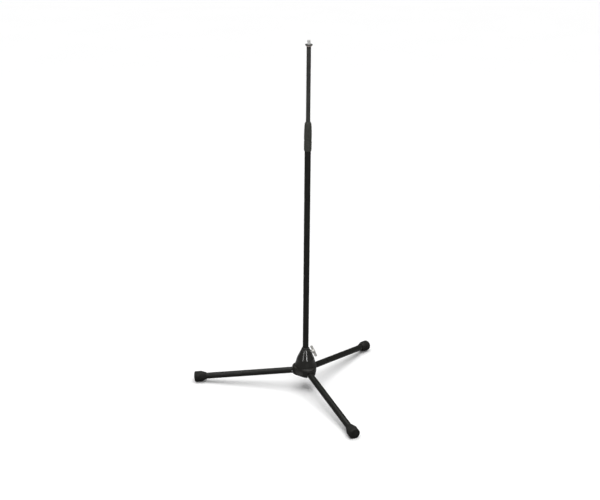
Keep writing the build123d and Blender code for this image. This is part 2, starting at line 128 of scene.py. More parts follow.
def rounded(corners, closed=True):
    """(radius, height, fillet) corners to outline points, each corner rounded by its fillet."""
    points = []
    count = len(corners)
    for index, (x, y, fillet) in enumerate(corners):
        here = Vector((x, y))
        at_end = not closed and index in (0, count - 1)
        before = Vector(corners[index - 1][:2]) - here
        after = Vector(corners[(index + 1) % count][:2]) - here
        if fillet <= 0 or at_end or before.length < 1e-6 or after.length < 1e-6:
            points.append(here)
            continue
        half = before.angle(after) / 2
        reach = min(fillet / math.tan(half), 0.48 * before.length, 0.48 * after.length)
        start = here + before.normalized() * reach
        end = here + after.normalized() * reach
        for step in range(FILLET_STEPS + 1):
            t = step / FILLET_STEPS
            points.append(start * (1 - t) ** 2 + here * 2 * t * (1 - t) + end * t ** 2)
    return points


def turned_mesh(name, outline, steps=ROUND_STEPS, closed=True):
    """A solid of revolution about Z. A closed outline leaves a bore; an open one ends on the axis."""
    mesh = bmesh.new()
    rings = []
    for point in outline:
        radius = max(point[0], 0.0) * MM
        if radius < 1e-7:
            rings.append([mesh.verts.new((0, 0, point[1] * MM))])
            continue
        ring = []
        for step in range(steps):
            angle = 2 * math.pi * step / steps
            x, y = radius * math.cos(angle), radius * math.sin(angle)
            ring.append(mesh.verts.new((x, y, point[1] * MM)))
        rings.append(ring)
    pairs = list(zip(rings, rings[1:]))
    if closed:
        pairs.append((rings[-1], rings[0]))
    for low, high in pairs:
        for step in range(steps):
            after = (step + 1) % steps
            corners = [low[step % len(low)], low[after % len(low)]]
            corners += [high[after % len(high)], high[step % len(high)]]
            corners = list(dict.fromkeys(corners))
            if len(corners) > 2:
                mesh.faces.new(corners)
    return finished_mesh(name, mesh)


def finished_mesh(name, mesh):
    """Recalculates the normals of a bmesh, smooths it by angle and returns the mesh."""
    bmesh.ops.recalc_face_normals(mesh, faces=mesh.faces)
    data = bpy.data.meshes.new(name)
    mesh.to_mesh(data)
    mesh.free()
    smooth_by_angle(data)
    return data


def smooth_by_angle(data):
    data.shade_smooth()
    data.set_sharp_from_angle(angle=SHARP_ANGLE)


def mark_wear(data):
    """Writes each vertex's sharpness, 0 to 1, where a material rubs its edges bright."""
    mesh = bmesh.new()
    mesh.from_mesh(data)
    worn = [0.0] * len(mesh.verts)
    for vertex in mesh.verts:
        for edge in vertex.link_edges:
            if len(edge.link_faces) == 2 and edge.is_convex:
                worn[vertex.index] = max(worn[vertex.index], edge.calc_face_angle(0.0) / WEAR_ANGLE)
    mesh.free()
    attribute = data.attributes.get("wear") or data.attributes.new("wear", "FLOAT", "POINT")
    attribute.data.foreach_set("value", [min(value, 1.0) for value in worn])


def add_piece(name, data, body, material, nodes=(), place=None):
    """Puts a finished mesh in the scene as a piece on a body, in place of its CAD nodes."""
    if place is not None:
        data.transform(place)
    mark_wear(data)
    piece = bpy.data.objects.new(name, data)
    COLLECTION.objects.link(piece)
    data.materials.clear()
    data.materials.append(material)
    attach(piece, body)
    if nodes:
        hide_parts(*nodes)
    return piece


def merged_copy(node, name):
    """A CAD node's mesh with its loose triangles joined and its round faces smooth."""
    mesh = bmesh.new()
    mesh.from_mesh(frame["nodes"][node].data)
    bmesh.ops.remove_doubles(mesh, verts=mesh.verts, dist=1e-6)
    bmesh.ops.dissolve_degenerate(mesh, edges=mesh.edges, dist=1e-7)
    data = bpy.data.meshes.new(name)
    mesh.to_mesh(data)
    mesh.free()
    smooth_by_angle(data)
    return data


# ---------------------------------------------------------------- node trees

class Tree:
    """A node tree under construction: short calls for adding nodes and joining sockets."""

    def __init__(self, tree):
        self.tree = tree

    def add(self, kind, values=None, **settings):
        node = self.tree.nodes.new(kind)
        for key, value in settings.items():
            setattr(node, key, value)
        for key, value in (values or {}).items():
            self.feed(node.inputs[key], value)
        return node

    def feed(self, socket, value):
        if isinstance(value, bpy.types.NodeSocket):
            self.tree.links.new(value, socket)
        else:
            socket.default_value = value

    def math(self, operation, first, second=0.0, third=0.0, clamp=False):
        values = {0: first, 1: second, 2: third}
        node = self.add("ShaderNodeMath", values, operation=operation, use_clamp=clamp)
        return node.outputs[0]

    def ramp(self, value, low, high, out_low=0.0, out_high=1.0):
        """A smooth step of value from low to high."""
        values = {"Value": value, "From Min": low, "From Max": high}
        values |= {"To Min": out_low, "To Max": out_high}
        return self.add("ShaderNodeMapRange", values, interpolation_type="SMOOTHSTEP").outputs[0]

    def blend_colour(self, factor, first, second):
        node = self.add("ShaderNodeMix", data_type="RGBA")
        self.feed(node.inputs[0], factor)
        self.feed(node.inputs[6], first)
        self.feed(node.inputs[7], second)
        return node.outputs[2]


def new_group(name, inputs, outputs, kind="ShaderNodeTree"):
    """A node group with named sockets: (name, socket kind, default value or None)."""
    group = bpy.data.node_groups.new(name, kind)
    for label, socket_kind, default in inputs:
        socket = group.interface.new_socket(label, in_out="INPUT", socket_type=socket_kind)
        if default is not None:
            socket.default_value = default
    for label, socket_kind in outputs:
        group.interface.new_socket(label, in_out="OUTPUT", socket_type=socket_kind)
    tree = Tree(group)
    return group, tree, tree.add("NodeGroupInput").outputs, tree.add("NodeGroupOutput").inputs


FLOAT = "NodeSocketFloat"
GEOMETRY = "NodeSocketGeometry"
INTEGER = "NodeSocketInt"
MATERIAL = "NodeSocketMaterial"


def grain_group():
    """Fine surface grain over a slow swell: a height for bumps and a mottling mask."""
    group, tree, given, out = new_group(
        "fine grain",
        [("Grain Size", FLOAT, 0.6), ("Swell Size", FLOAT, 9.0), ("Swell Share", FLOAT, 0.3)],
        [("Height", FLOAT), ("Mottle", FLOAT)],
    )
    place = tree.add("ShaderNodeTexCoord").outputs["Object"]
    fine_scale = tree.math("DIVIDE", 1 / MM, given["Grain Size"])
    slow_scale = tree.math("DIVIDE", 1 / MM, given["Swell Size"])
    fine_values = {"Vector": place, "Scale": fine_scale, "Detail": 3.0, "Roughness": 0.6}
    fine = tree.add("ShaderNodeTexNoise", fine_values)
    slow = tree.add("ShaderNodeTexNoise", {"Vector": place, "Scale": slow_scale, "Detail": 2.0})
    slow_part = tree.math("MULTIPLY", slow.outputs[0], given["Swell Share"])
    tree.feed(out["Height"], tree.math("ADD", fine.outputs[0], slow_part))
    tree.feed(out["Mottle"], tree.ramp(slow.outputs[0], 0.35, 0.65))
    return group


def scuff_group():
    """Handling marks: sparse fine scratches and rubbed patches."""
    group, tree, given, out = new_group(
        "scuffs",
        [("Scratch Length", FLOAT, 12.0), ("Scratch Width", FLOAT, 0.5), ("Cover", FLOAT, 0.4)],
        [("Scratches", FLOAT), ("Rubbed", FLOAT)],
    )
    place = tree.add("ShaderNodeTexCoord").outputs["Object"]
    along = tree.math("DIVIDE", 1 / MM, given["Scratch Length"])
    across = tree.math("DIVIDE", 1 / MM, given["Scratch Width"])
    squeeze = tree.add("ShaderNodeCombineXYZ", {"X": across, "Y": across, "Z": along})
    spun = tree.add("ShaderNodeMapping", {"Vector": place, "Rotation": (0.35, 0.2, 0.6)})
    pair = {0: spun.outputs[0], 1: squeeze.outputs[0]}
    stretched = tree.add("ShaderNodeVectorMath", pair, operation="MULTIPLY")
    lines = tree.add("ShaderNodeTexNoise", {"Vector": stretched.outputs[0], "Scale": 1.0, "Detail": 2.0})
    patch_values = {"Vector": place, "Scale": 28.0, "Detail": 4.0, "Roughness": 0.65}
    patches = tree.add("ShaderNodeTexNoise", patch_values)
    edge = tree.math("MULTIPLY_ADD", given["Cover"], -0.12, 0.72)
    mark = tree.ramp(lines.outputs[0], edge, tree.math("ADD", edge, 0.05))
    patch = tree.ramp(patches.outputs[0], 0.45, 0.68)
    tree.feed(out["Scratches"], tree.math("MULTIPLY", mark, patch))
    tree.feed(out["Rubbed"], patch)
    return group


def dust_group():
    """Dust that settles on what faces up, thickest near the floor."""
    group, tree, given, out = new_group(
        "dust",
        [("Amount", FLOAT, 0.3), ("Fades By", FLOAT, 0.4)],
        [("Dust", FLOAT)],
    )
    coords = tree.add("ShaderNodeTexCoord").outputs
    up = tree.add("ShaderNodeSeparateXYZ", {0: coords["Normal"]}).outputs["Z"]
    height = tree.add("ShaderNodeSeparateXYZ", {0: coords["Object"]}).outputs["Z"]
    specks = tree.add("ShaderNodeTexNoise", {"Vector": coords["Object"], "Scale": 420.0, "Detail": 3.0})
    facing = tree.ramp(up, 0.1, 0.95)
    low = tree.ramp(height, 0.0, given["Fades By"], 1.0, 0.25)
    cover = tree.math("MULTIPLY", facing, tree.ramp(specks.outputs[0], 0.42, 0.7))
    tree.feed(out["Dust"], tree.math("MULTIPLY", tree.math("MULTIPLY", cover, low), given["Amount"]))
    return group


def wear_group():
    """Edges rubbed thin: the mesh's sharpness broken up by noise."""
    group, tree, given, out = new_group(
        "edge wear",
        [("Amount", FLOAT, 0.5), ("Break Size", FLOAT, 1.5)],
        [("Wear", FLOAT)],
    )
    sharp = tree.add("ShaderNodeAttribute", attribute_name="wear").outputs["Fac"]
    place = tree.add("ShaderNodeTexCoord").outputs["Object"]
    scale = tree.math("DIVIDE", 1 / MM, given["Break Size"])
    noise = tree.add("ShaderNodeTexNoise", {"Vector": place, "Scale": scale, "Detail": 3.0})
    broken = tree.math("MULTIPLY", sharp, tree.ramp(noise.outputs[0], 0.4, 0.62))
    tree.feed(out["Wear"], tree.math("MULTIPLY", broken, given["Amount"], clamp=True))
    return group


GRAIN = grain_group()
SCUFFS = scuff_group()
DUST = dust_group()
WEAR = wear_group()


def new_material(name, **fixed):
    """A material, its Principled shader with the values that are the same all over it."""
    material = bpy.data.materials.new(name)
    material.use_nodes = True
    tree = Tree(material.node_tree)
    shader = material.node_tree.nodes["Principled BSDF"]
    for label, value in fixed.items():
        shader.inputs[label.replace("_", " ")].default_value = value
    return material, tree, shader.inputs


def use(tree, group, **values):
    node = tree.add("ShaderNodeGroup", node_tree=group)
    for label, value in values.items():
        tree.feed(node.inputs[label.replace("_", " ")], value)
    return node.outputs


def bump(tree, surface, height, distance):
    """A bump of that many millimetres feeding the shader's normal."""
    node = tree.add("ShaderNodeBump", {"Height": height, "Distance": distance * MM, "Strength": 1.0})
    tree.feed(surface["Normal"], node.outputs[0])


# ---------------------------------------------------------------- finishes

def powder_coat(name, dark, light, rough):
    """Satin black powder coat: orange peel, faint scratches, dust, rubbed ends."""
    material, tree, surface = new_material(name, Specular_IOR_Level=0.16)
    grain = use(tree, GRAIN, Grain_Size=0.9, Swell_Size=30.0, Swell_Share=0.4)
    marks = use(tree, SCUFFS, Scratch_Length=18.0, Scratch_Width=0.7, Cover=0.5)
    dust = use(tree, DUST, Amount=0.05, Fades_By=0.3)
    worn = use(tree, WEAR, Amount=0.6, Break_Size=1.2)
    black = tree.blend_colour(grain["Mottle"], dark, light)
    scratched = tree.blend_colour(marks["Scratches"], black, (0.035, 0.035, 0.033, 1))
    dusty = tree.blend_colour(dust["Dust"], scratched, (0.20, 0.19, 0.17, 1))
    tree.feed(surface["Base Color"], tree.blend_colour(worn["Wear"], dusty, (0.12, 0.12, 0.12, 1)))
    tree.feed(surface["Roughness"], tree.ramp(marks["Rubbed"], 0.0, 1.0, rough, rough - 0.07))
    bump(tree, surface, grain["Height"], 0.035)
    return material


def polish_loss(tree):
    """1 on the band, where the lacquer is dull, falling to 0 up the cone."""
    place = tree.add("ShaderNodeTexCoord").outputs["Object"]
    height = tree.add("ShaderNodeSeparateXYZ", {0: place}).outputs["Z"]
    return tree.ramp(height, 0.082, 0.104, 1.0, 0.0)


def casting_lacquer():
    """Glossy black lacquer over a die casting: slight waviness and worn rims."""
    material, tree, surface = new_material(
        "gloss black lacquer", Specular_IOR_Level=0.28, Coat_Roughness=0.06, Coat_IOR=1.5
    )
    grain = use(tree, GRAIN, Grain_Size=1.6, Swell_Size=14.0, Swell_Share=1.2)
    marks = use(tree, SCUFFS, Scratch_Length=6.0, Scratch_Width=0.35, Cover=0.5)
    dust = use(tree, DUST, Amount=0.12, Fades_By=0.25)
    worn = use(tree, WEAR, Amount=0.5, Break_Size=1.0)
    black = tree.blend_colour(grain["Mottle"], (0.0062, 0.0060, 0.0048, 1), (0.0085, 0.0082, 0.0066, 1))
    scratched = tree.blend_colour(marks["Scratches"], black, (0.03, 0.03, 0.028, 1))
    dusty = tree.blend_colour(dust["Dust"], scratched, (0.18, 0.17, 0.15, 1))
    tree.feed(surface["Base Color"], tree.blend_colour(worn["Wear"], dusty, (0.16, 0.155, 0.145, 1)))
    dull = polish_loss(tree)
    rough = tree.ramp(marks["Rubbed"], 0.0, 1.0, 0.20, 0.27)
    tree.feed(surface["Roughness"], tree.math("MULTIPLY_ADD", dull, 0.28, rough))
    coat = tree.ramp(dust["Dust"], 0.0, 0.2, 0.6, 0.2)
    tree.feed(surface["Coat Weight"], tree.math("MULTIPLY", coat, tree.math("SUBTRACT", 1.0, dull)))
    bump(tree, surface, grain["Height"], 0.03)
    return material


def moulded_plastic(name, dark, light, rough, grain_depth, dust_amount=0.15):
    """Moulded plastic: spark-eroded grain, mottling and polished high spots."""
    material, tree, surface = new_material(name, Specular_IOR_Level=0.4)
    grain = use(tree, GRAIN, Grain_Size=0.45, Swell_Size=7.0, Swell_Share=0.3)
    marks = use(tree, SCUFFS, Scratch_Length=5.0, Scratch_Width=0.4, Cover=0.3)
    dust = use(tree, DUST, Amount=dust_amount, Fades_By=0.6)
    worn = use(tree, WEAR, Amount=0.35, Break_Size=0.8)
    body = tree.blend_colour(grain["Mottle"], dark, light)
    dusty = tree.blend_colour(dust["Dust"], body, (0.22, 0.21, 0.19, 1))
    rubbed = tuple(1.7 * value + 0.01 for value in light[:3]) + (1,)
    tree.feed(surface["Base Color"], tree.blend_colour(worn["Wear"], dusty, rubbed))
    tree.feed(surface["Roughness"], tree.ramp(marks["Rubbed"], 0.0, 1.0, rough, rough - 0.1))
    bump(tree, surface, grain["Height"], grain_depth)
    return material


def foot_rubber():
    """Black rubber: dull, faintly blooming, scuffed grey towards the floor."""
    material, tree, surface = new_material("foot rubber", Specular_IOR_Level=0.18)
    grain = use(tree, GRAIN, Grain_Size=0.7, Swell_Size=11.0, Swell_Share=0.5)
    marks = use(tree, SCUFFS, Scratch_Length=4.0, Scratch_Width=0.9, Cover=1.0)
    dust = use(tree, DUST, Amount=0.1, Fades_By=0.12)
    worn = use(tree, WEAR, Amount=0.5, Break_Size=1.4)
    body = tree.blend_colour(grain["Mottle"], (0.0080, 0.0080, 0.0072, 1), (0.0125, 0.0125, 0.0112, 1))
    scuffed = tree.blend_colour(marks["Scratches"], body, (0.05, 0.05, 0.048, 1))
    dusty = tree.blend_colour(dust["Dust"], scuffed, (0.16, 0.155, 0.14, 1))
    tree.feed(surface["Base Color"], tree.blend_colour(worn["Wear"], dusty, (0.06, 0.06, 0.057, 1)))
    tree.feed(surface["Roughness"], tree.ramp(grain["Mottle"], 0.0, 1.0, 0.78, 0.68))
    bump(tree, surface, grain["Height"], 0.06)
    return material


def plated(name, dark, light, rough, metallic=1.0, grain_size=0.8, grain_depth=0.02):
    """Plated or bare metal: mottled tone, fine grain, darker in the rubbed patches."""
    material, tree, surface = new_material(name, Metallic=metallic)
    grain = use(tree, GRAIN, Grain_Size=grain_size, Swell_Size=5.0, Swell_Share=0.6)
    marks = use(tree, SCUFFS, Scratch_Length=4.0, Scratch_Width=0.25, Cover=0.8)
    worn = use(tree, WEAR, Amount=0.6, Break_Size=0.7)
    body = tree.blend_colour(grain["Mottle"], dark, light)
    scratch = tuple(0.6 * value for value in dark[:3]) + (1,)
    scratched = tree.blend_colour(marks["Scratches"], body, scratch)
    bright = tuple(min(1.15 * value, 1.0) for value in light[:3]) + (1,)
    tree.feed(surface["Base Color"], tree.blend_colour(worn["Wear"], scratched, bright))
    tree.feed(surface["Roughness"], tree.ramp(marks["Rubbed"], 0.0, 1.0, rough, rough + 0.1))
    bump(tree, surface, grain["Height"], grain_depth)
    return material


def nylon(name, dark, light):
    """Natural nylon or fibre: a slightly milky, waxy surface."""
    material, tree, surface = new_material(name, Specular_IOR_Level=0.45, Subsurface_Weight=0.08)
    grain = use(tree, GRAIN, Grain_Size=0.5, Swell_Size=4.0, Swell_Share=0.5)
    marks = use(tree, SCUFFS, Scratch_Length=4.0, Scratch_Width=0.5, Cover=0.4)
    tree.feed(surface["Base Color"], tree.blend_colour(grain["Mottle"], dark, light))
    tree.feed(surface["Roughness"], tree.ramp(marks["Rubbed"], 0.0, 1.0, 0.42, 0.55))
    bump(tree, surface, grain["Height"], 0.02)
    return material


FINISHES = {
    "tube_black": powder_coat(
        "satin black powder coat", (0.0075, 0.0076, 0.0064, 1), (0.0102, 0.0102, 0.0086, 1), 0.33
    ),
    "casting_black": casting_lacquer(),
    "grip_plastic": moulded_plastic(
        "grip plastic", (0.036, 0.037, 0.031, 1), (0.045, 0.046, 0.038, 1), 0.62, 0.05
    ),
    "bush_plastic": moulded_plastic(
        "bush plastic", (0.008, 0.008, 0.007, 1), (0.011, 0.011, 0.010, 1), 0.5, 0.03
    ),
    "foot_rubber": foot_rubber(),
    "nickel": plated("dull nickel", (0.66, 0.65, 0.61, 1), (0.80, 0.79, 0.75, 1), 0.36, 0.78),
    "zinc_steel": plated("bright zinc plate", (0.74, 0.74, 0.72, 1), (0.86, 0.86, 0.84, 1), 0.30, 0.5),
    "pin_steel": plated("drawn steel", (0.30, 0.30, 0.31, 1), (0.42, 0.42, 0.43, 1), 0.32),
    "knuckle_metal": plated(
        "raw casting", (0.25, 0.25, 0.26, 1), (0.36, 0.36, 0.37, 1), 0.5, grain_size=1.1, grain_depth=0.06
    ),
    "pad_brass": plated("turned brass", (0.60, 0.42, 0.17, 1), (0.75, 0.56, 0.27, 1), 0.3),
    "natural_nylon": nylon("natural nylon", (0.60, 0.58, 0.50, 1), (0.70, 0.68, 0.61, 1)),
    "red_fibre": nylon("red fibre", (0.16, 0.035, 0.025, 1), (0.24, 0.055, 0.035, 1)),
}
# Two pieces wear their slot's finish differently: the sliding tube takes a lighter, rougher copy of the powder
# coat, a painted sheen standing in for the highlight down its side, and the ring nut has gone dark.
SHEEN_PAINTED_TUBE_COAT = powder_coat(
    "powder coat with painted sheen", (0.034, 0.034, 0.0315, 1), (0.044, 0.044, 0.041, 1), 0.42
)
DARK_NICKEL = plated("tarnished nickel", (0.13, 0.13, 0.125, 1), (0.19, 0.19, 0.18, 1), 0.38, 0.7)


# ---------------------------------------------------------------- geometry trees

def radial_parts(tree):
    """Position, its distance from the Z axis and its angle round it, as a share of a turn."""
    position = tree.add("GeometryNodeInputPosition").outputs[0]
    axes = tree.add("ShaderNodeSeparateXYZ", {0: position}).outputs
    flat = tree.add("ShaderNodeCombineXYZ", {"X": axes["X"], "Y": axes["Y"]}).outputs[0]
    radius = tree.add("ShaderNodeVectorMath", {0: flat}, operation="LENGTH").outputs["Value"]
    angle = tree.math("ARCTAN2", axes["Y"], axes["X"])
    return flat, radius, tree.math("DIVIDE", angle, 2 * math.pi), axes["Z"]


def push_to_radius(tree, geometry, flat, radius, wanted):
    """Moves points straight in or out so that they stand at the wanted radius."""
    change = tree.math("DIVIDE", tree.math("SUBTRACT", wanted, radius), tree.math("MAXIMUM", radius, 1e-6))
    offset = tree.add("ShaderNodeVectorMath", {0: flat}, operation="SCALE")
    tree.feed(offset.inputs["Scale"], change)
    return tree.add("GeometryNodeSetPosition", {"Geometry": geometry, "Offset": offset.outputs[0]}).outputs[0]


def close_tree(tree, out, geometry, material):
    """Every tree ends here: real geometry, with its material set."""
    real = tree.add("GeometryNodeRealizeInstances", {0: geometry}).outputs[0]
    coated = tree.add("GeometryNodeSetMaterial", {"Geometry": real, "Material": material})
    tree.feed(out[0], coated.outputs[0])


def thread_tree():
    """A round bar with a screw thread cut in its side, fading out at both ends."""
    group, tree, given, out = new_group(
        "screw thread",
        [("Major Radius", FLOAT, 0.005), ("Thread Depth", FLOAT, 0.001), ("Pitch", FLOAT, 0.0015),
         ("Length", FLOAT, 0.02), ("Run Out", FLOAT, 0.001), ("Sides", INTEGER, 64),
         ("Rows", INTEGER, 160), ("Material", MATERIAL, None)],
        [("Geometry", GEOMETRY)],
        "GeometryNodeTree",
    )
    values = {"Vertices": given["Sides"], "Side Segments": given["Rows"], "Fill Segments": 2,
              "Radius": given["Major Radius"], "Depth": given["Length"]}
    bar = tree.add("GeometryNodeMeshCylinder", values, fill_type="NGON").outputs["Mesh"]
    flat, radius, turn, height = radial_parts(tree)
    phase = tree.math("FRACT", tree.math("SUBTRACT", tree.math("DIVIDE", height, given["Pitch"]), turn))
    valley = tree.math("ABSOLUTE", tree.math("SUBTRACT", phase, 0.5))
    cut = tree.ramp(valley, 0.06, 0.44, 1.0, 0.0)
    half = tree.math("MULTIPLY", given["Length"], 0.5)
    from_end = tree.math("SUBTRACT", half, tree.math("ABSOLUTE", height))
    bevel = tree.ramp(from_end, 0.0, given["Run Out"], 0.9, 0.0)
    deepest = tree.math("MAXIMUM", cut, bevel)
    sink = tree.math("MULTIPLY", deepest, given["Thread Depth"])
    wanted = tree.math("SUBTRACT", given["Major Radius"], sink)
    close_tree(tree, out, push_to_radius(tree, bar, flat, radius, wanted), given["Material"])
    return group


def rib_tree():
    """Even ribs round a turned blank: the valleys are sunk, and the band fades at its ends."""
    group, tree, given, out = new_group(
        "ribs round a rim",
        [("Blank", GEOMETRY, None), ("Ribs", FLOAT, 48.0), ("Valley Depth", FLOAT, 0.0004),
         ("Band Low", FLOAT, 0.0), ("Band High", FLOAT, 1.0), ("Fade", FLOAT, 0.001),
         ("Inner Radius", FLOAT, 0.0), ("Crest Share", FLOAT, 0.5), ("Material", MATERIAL, None)],
        [("Geometry", GEOMETRY)],
        "GeometryNodeTree",
    )
    flat, radius, turn, height = radial_parts(tree)
    phase = tree.math("FRACT", tree.math("ADD", tree.math("MULTIPLY", turn, given["Ribs"]), 0.5))
    from_crest = tree.math("MULTIPLY", tree.math("ABSOLUTE", tree.math("SUBTRACT", phase, 0.5)), 2.0)
    valley = tree.ramp(from_crest, given["Crest Share"], 1.0)
    above = tree.ramp(tree.math("SUBTRACT", height, given["Band Low"]), 0.0, given["Fade"])
    below = tree.ramp(tree.math("SUBTRACT", given["Band High"], height), 0.0, given["Fade"])
    outside = tree.math("GREATER_THAN", radius, given["Inner Radius"])
    sink = tree.math("MULTIPLY", tree.math("MULTIPLY", above, below), tree.math("MULTIPLY", valley, outside))
    wanted = tree.math("SUBTRACT", radius, tree.math("MULTIPLY", sink, given["Valley Depth"]))
    close_tree(tree, out, push_to_radius(tree, given["Blank"], flat, radius, wanted), given["Material"])
    return group


THREAD = thread_tree()
RIBS = rib_tree()


def grown_mesh(name, group, blank=None, **values):
    """The plain mesh that a geometry tree makes, with its inputs set by name."""
    holder = bpy.data.objects.new(name, blank or bpy.data.meshes.new(name))
    COLLECTION.objects.link(holder)
    modifier = holder.modifiers.new(name, "NODES")
    modifier.node_group = group
    sockets = {item.name: item.identifier for item in group.interface.items_tree if item.in_out == "INPUT"}
    for label, value in values.items():
        modifier[sockets[label.replace("_", " ")]] = value
    bpy.context.view_layer.update()
    depsgraph = bpy.context.evaluated_depsgraph_get()
    data = bpy.data.meshes.new_from_object(holder.evaluated_get(depsgraph))
    bpy.data.objects.remove(holder)
    data.name = name
    smooth_by_angle(data)
    return data


def thread_mesh(name, material, low, high, radius, depth, pitch, rows_per_mm=9.0):
    """A threaded bar about Z between two heights, in millimetres."""
    length = high - low
    data = grown_mesh(
        name, THREAD, Major_Radius=radius * MM, Thread_Depth=depth * MM, Pitch=pitch * MM,
        Length=length * MM, Run_Out=0.9 * MM, Sides=72, Rows=int(length * rows_per_mm),
        Material=material,
    )
    data.transform(Matrix.Translation((0, 0, (low + high) / 2 * MM)))
    return data


def joined_mesh(name, *parts):
    """Several meshes as one; each keeps its own closed surface."""
    mesh = bmesh.new()
    for part in parts:
        mesh.from_mesh(part)
    data = bpy.data.meshes.new(name)
    mesh.to_mesh(data)
    mesh.free()
    smooth_by_angle(data)
    return data


# ---------------------------------------------------------------- mast

def tube_outline(outer_r, wall, low, high):
    inner_r = outer_r - wall
    corners = [(inner_r, low), (outer_r, low), (outer_r, high), (inner_r, high)]
    return rounded([(radius, height, TUBE_END_ROUND) for radius, height in corners])


def make_mast_tubes():
    tubes = (
        ("lower_tube", LOWER_TUBE_WALL, "mast", FINISHES["tube_black"]),
        # The upper tube's lighter coat is painted sheen for its highlight.
        ("upper_tube", UPPER_TUBE_WALL, "upper_mast", SHEEN_PAINTED_TUBE_COAT),
    )
    for name, wall, body, coat in tubes:
        low, high, radius = upright(name)
        data = turned_mesh(name, tube_outline(radius, wall, low, high))
        add_piece(f"{name}_coated", data, body, coat, [name])


def make_clutch_collar():
    """The ringed collar: soft rolled rings over the lower tube, and the thread above it."""
    low, high, radius = upright("clutch_body")
    sleeve_low = upright("grip_sleeve")[0]
    lower_top, lower_r = upright("lower_tube")[1:]
    upper_r = upright("upper_tube")[2]
    top = sleeve_low - 1.0
    bore = upper_r + 0.5
    thread_r = bore + 2.0
    corners = [
        (lower_r + 0.02, low, 0.2), (lower_r + 0.7, low, 0.4), (radius - 0.6, low + 3.0, 1.2),
        (radius - 0.45, low + 3.9, 0.4),
    ]
    ring_pitch = 6.8
    for ring in range(4):
        foot = low + 4.5 + ring * ring_pitch
        corners += [
            (radius - 0.55, foot - 0.3, 0.3), (radius, foot + 0.8, 0.9),
            (radius, foot + 4.9, 0.9), (radius - 0.55, foot + 6.0, 0.3),
        ]
    corners += [
        (radius - 0.4, top, 0.4), (thread_r - 0.9, top, 0.1), (thread_r - 0.9, high, 0.3),
        (bore, high, 0.3), (bore, lower_top, 0.0), (lower_r + 0.02, lower_top, 0.0),
    ]
    collar = turned_mesh("clutch_collar", rounded(corners), FINE_STEPS)
    add_piece("clutch_collar", collar, "mast", FINISHES["grip_plastic"], ["clutch_body"])
    add_piece("clutch_thread", clutch_thread(top, high, thread_r, bore), "mast",
              FINISHES["grip_plastic"])


def clutch_thread(low, high, radius, bore):
    """The coarse male thread as a sleeve: a ribbed bar's side, with the bore left open."""
    turns = (high - low) / CLUTCH_THREAD_PITCH
    rows = int(turns * 24)
    outline = []
    for row in range(rows + 1):
        outline.append((radius, low + (high - low) * row / rows))
    outline += [(bore + 0.1, high), (bore + 0.1, low)]
    mesh = bmesh.new()
    mesh.from_mesh(turned_mesh("clutch_thread", outline))
    for vertex in mesh.verts:
        flat = vertex.co.to_2d()
        if flat.length < (radius - 0.1) * MM:
            continue
        height = vertex.co.z / MM - low
        phase = (height / CLUTCH_THREAD_PITCH - math.atan2(flat.y, flat.x) / (2 * math.pi)) % 1.0
        wave = min(max(2.2 * (abs(phase - 0.5) * 2 - 0.5) + 0.5, 0.0), 1.0)
        ends = min(height, high - low - height, 1.0)
        depth = CLUTCH_THREAD_DEPTH * (1 - wave * max(ends, 0.0))
        flat = flat.normalized() * (radius - depth) * MM
        vertex.co.x, vertex.co.y = flat
    return finished_mesh("clutch_thread", mesh)


def make_grip_sleeve():
    """The barrel: a slight belly, plain cuffs at both ends and fine grip ribs between."""
    low, high, radius = upright("grip_sleeve")
    upper_r = upright("upper_tube")[2]
    height = high - low
    top_r = upright("clutch_ring")[2]
    inner = upper_r + 2.8
    corners = [
        (inner, low, 0.2), (radius - 0.35, low, 0.6), (radius, low + 1.4, 0.8),
        (radius - 0.05, low + 0.35 * height, 20.0), (radius - 0.55, low + 0.75 * height, 20.0),
        (top_r, high, 0.4), (top_r - 2.2, high, 0.2), (top_r - 2.2, high - 6.0, 0.5),
        (inner, low + 25.0, 0.5),
    ]
    outline = subdivided(rounded(corners), 0.8)
    blank = turned_mesh("grip_sleeve", outline, 4 * 72)
    ribbed = grown_mesh(
        "grip_sleeve", RIBS, blank, Ribs=36.0, Valley_Depth=0.35 * MM,
        Band_Low=(low + 5.0) * MM, Band_High=(high - 5.0) * MM, Fade=2.0 * MM,
        Inner_Radius=(radius - 1.9) * MM, Crest_Share=0.45, Material=FINISHES["grip_plastic"],
    )
    add_piece("grip_barrel", ribbed, "sleeve", FINISHES["grip_plastic"], ["grip_sleeve"])


def subdivided(outline, longest):
    """An outline with its long straight runs divided, for pieces whose surface is worked."""
    points = []
    for here, after in zip(outline, outline[1:] + outline[:1]):
        here, after = Vector(here), Vector(after)
        parts = max(1, math.ceil((after - here).length / longest))
        for part in range(parts):
            points.append(here.lerp(after, part / parts))
    return points


def make_clutch_ring():
    low, high, radius = upright("clutch_ring")
    seat = upright("grip_sleeve")[1] + 0.1
    bore = upright("upper_tube")[2] + 0.35
    corners = [
        (bore, low, 0.2), (bore + 1.0, low, 0.2), (bore + 1.0, seat, 0.1), (radius, seat, 0.3),
        (radius - 0.15, seat + 1.6, 1.5), (bore + 1.6, high - 0.9, 1.2), (bore + 0.8, high, 0.4),
        (bore, high, 0.3),
    ]
    data = turned_mesh("clutch_ring", rounded(corners), FINE_STEPS)
    add_piece("clutch_slip_ring", data, "slip_ring", FINISHES["grip_plastic"],
              ["clutch_ring"])


def make_neck_bush():
    low, high, radius = upright("neck_bush")
    mast_r = upright("lower_tube")[2]
    seat = upright("base_casting")[1]
    bore = mast_r + 0.05
    corners = [
        (bore, low, 0.2), (bore + 2.0, low, 0.2), (bore + 2.0, seat, 0.0), (radius, seat, 0.35),
        (bore + 2.2, high - 1.1, 1.6), (bore + 1.0, high, 0.5), (bore, high, 0.25),
    ]
    data = turned_mesh("neck_bush", rounded(corners), FINE_STEPS)
    add_piece("neck_bush_moulded", data, "base", FINISHES["bush_plastic"], ["neck_bush"])


# ---------------------------------------------------------------- top fitting

